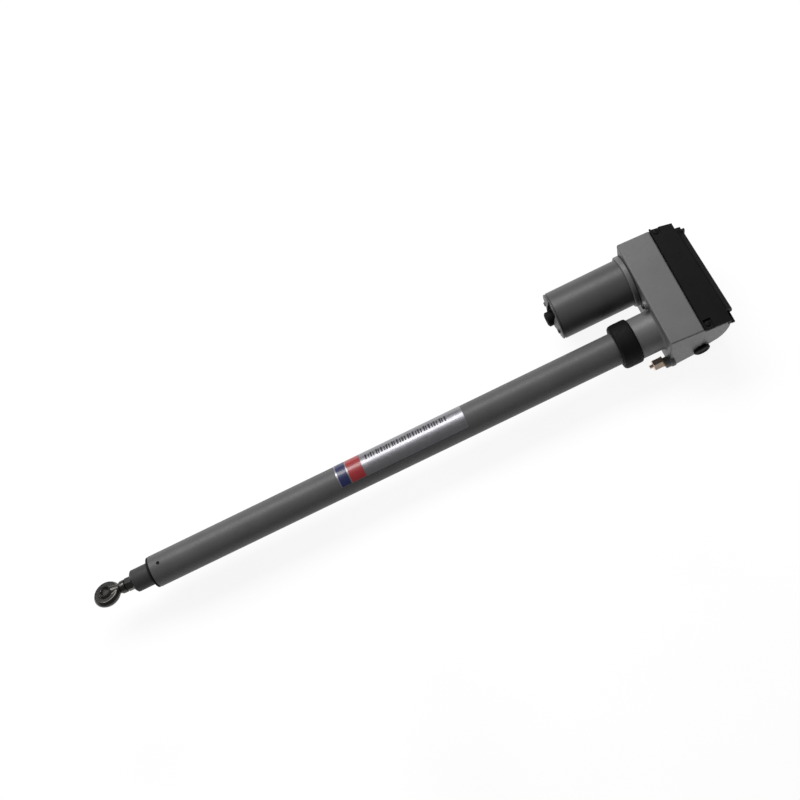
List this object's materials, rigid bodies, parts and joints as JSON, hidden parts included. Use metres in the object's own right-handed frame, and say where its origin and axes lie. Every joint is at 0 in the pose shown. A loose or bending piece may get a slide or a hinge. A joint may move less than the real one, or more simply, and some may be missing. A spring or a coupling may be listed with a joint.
{
  "type": "linear actuator",
  "caption": "Tubular linear actuator: a DC gear motor beside a long steel tube drives a lead screw that pushes out an inner tube with a ball-joint rod end.",
  "frame": {"origin": "middle of the footprint, on the plane of the gearbox's broad back face", "axes": "+X along the tube from the rod end to the gearbox, +Y from the tube to the motor, +Z out of the gearbox's broad back face towards the label side"},
  "size_m": [0.9405, 0.1643, 0.0994],
  "materials": {
    "cast_grey": "satin grey enamel on a die casting",
    "tube_grey": "satin grey enamel on steel tube",
    "black_plastic": "fine-textured black moulding",
    "rubber": "matt black rubber",
    "steel": "bright machined steel",
    "dark_steel": "oiled black-finished steel",
    "copper_zinc": "yellow-passivated zinc plate, coppery",
    "bronze": "sintered bronze",
    "copper": "enamelled copper",
    "ferrite": "dark grey ferrite",
    "carbon": "pressed carbon",
    "nylon": "natural nylon",
    "label_silver": "metallised film label"
  },
  "bodies": {
    "housing": {"gear_housing": "cast_grey", "gear_plate": "steel", "switch_cover": "black_plastic", "cover_screw_1": "dark_steel", "cover_screw_2": "dark_steel", "cover_screw_3": "dark_steel", "cover_screw_4": "dark_steel", "cable_grommet": "rubber", "outer_tube": "tube_grey", "front_guide_bush": "nylon", "wiper_seal": "rubber", "tube_collar": "rubber", "bush_set_screw": "dark_steel", "rating_label": "label_silver", "screw_bearing_outer": "steel", "bonding_washer": "bronze", "bonding_bolt": "copper_zinc", "housing_screw": "dark_steel", "motor_can": "tube_grey", "motor_flange": "cast_grey", "motor_end_cap": "cast_grey", "motor_rear_plug": "rubber", "motor_rear_bush": "bronze", "motor_front_bush": "bronze", "field_magnet_upper": "ferrite", "field_magnet_lower": "ferrite", "brush_upper": "carbon", "brush_lower": "carbon", "switch_bracket": "steel", "retract_switch": "black_plastic", "extend_switch": "black_plastic", "terminal_block": "nylon"},
    "rotor": {"motor_shaft": "steel", "armature_core": "dark_steel", "winding_rear": "copper", "winding_front": "copper", "commutator": "copper", "motor_pinion": "steel"},
    "idler_a": {"idler_a_gear": "nylon", "idler_a_pinion": "steel", "idler_a_shaft": "steel"},
    "idler_b": {"idler_b_gear": "steel", "idler_b_pinion": "steel", "idler_b_shaft": "steel"},
    "screw": {"lead_screw": "steel", "screw_tip_guide": "nylon", "screw_bearing_inner": "steel", "output_gear": "steel", "sensor_worm": "steel"},
    "sensor_wheel": {"worm_wheel": "nylon", "wheel_pinion": "steel"},
    "cams": {"cam_gear": "nylon", "retract_cam": "black_plastic", "extend_cam": "black_plastic"},
    "rod": {"inner_tube": "tube_grey", "drive_nut": "bronze", "rod_end_plug": "dark_steel", "rod_end": "dark_steel", "jam_nut": "dark_steel"},
    "ball": {"rod_end_ball": "steel"}
  },
  "joints": [
    {"name": "motor_spin", "type": "hinge", "parent": "housing", "child": "rotor", "pos_m": [0.31955, 0.04516, 0.052], "axis": [-1, 0, 0], "range_deg": [0, 1751742.08]},
    {"name": "idler_a_spin", "type": "hinge", "parent": "housing", "child": "idler_a", "pos_m": [0.40455, 0.01866, 0.052], "axis": [1, 0, 0], "continuous": true},
    {"name": "idler_b_spin", "type": "hinge", "parent": "housing", "child": "idler_b", "pos_m": [0.40455, -0.00784, 0.052], "axis": [1, 0, 0], "continuous": true},
    {"name": "screw_spin", "type": "hinge", "parent": "housing", "child": "screw", "pos_m": [0.36156, -0.03434, 0.052], "axis": [1, 0, 0], "continuous": true},
    {"name": "rod_slide", "type": "slide", "parent": "housing", "child": "rod", "axis": [-1, 0, 0], "range_m": [0, 0.61]},
    {"name": "sensor_wheel_spin", "type": "hinge", "parent": "housing", "child": "sensor_wheel", "pos_m": [0.44555, -0.01784, 0.052], "axis": [0, 0, 1], "continuous": true},
    {"name": "cam_spin", "type": "hinge", "parent": "housing", "child": "cams", "pos_m": [0.44555, -0.00284, 0.052], "axis": [0, 0, 1], "range_deg": [0, 295]},
    {"name": "ball_tilt", "type": "hinge", "parent": "rod", "child": "ball", "pos_m": [-0.45044, -0.03434, 0.052], "axis": [0, 0.9063, -0.4226], "range_deg": [-12, 12]}
  ],
  "couplings": [
    {"joint": "idler_a_spin", "follows": "motor_spin", "ratio": 0.29268},
    {"joint": "idler_b_spin", "follows": "motor_spin", "ratio": -0.085663},
    {"joint": "screw_spin", "follows": "motor_spin", "ratio": 0.025072},
    {"joint": "rod_slide", "follows": "motor_spin", "m_per_rad": 0.000019952},
    {"joint": "sensor_wheel_spin", "follows": "motor_spin", "ratio": -0.00083574},
    {"joint": "cam_spin", "follows": "motor_spin", "ratio": 0.00016715}
  ]
}
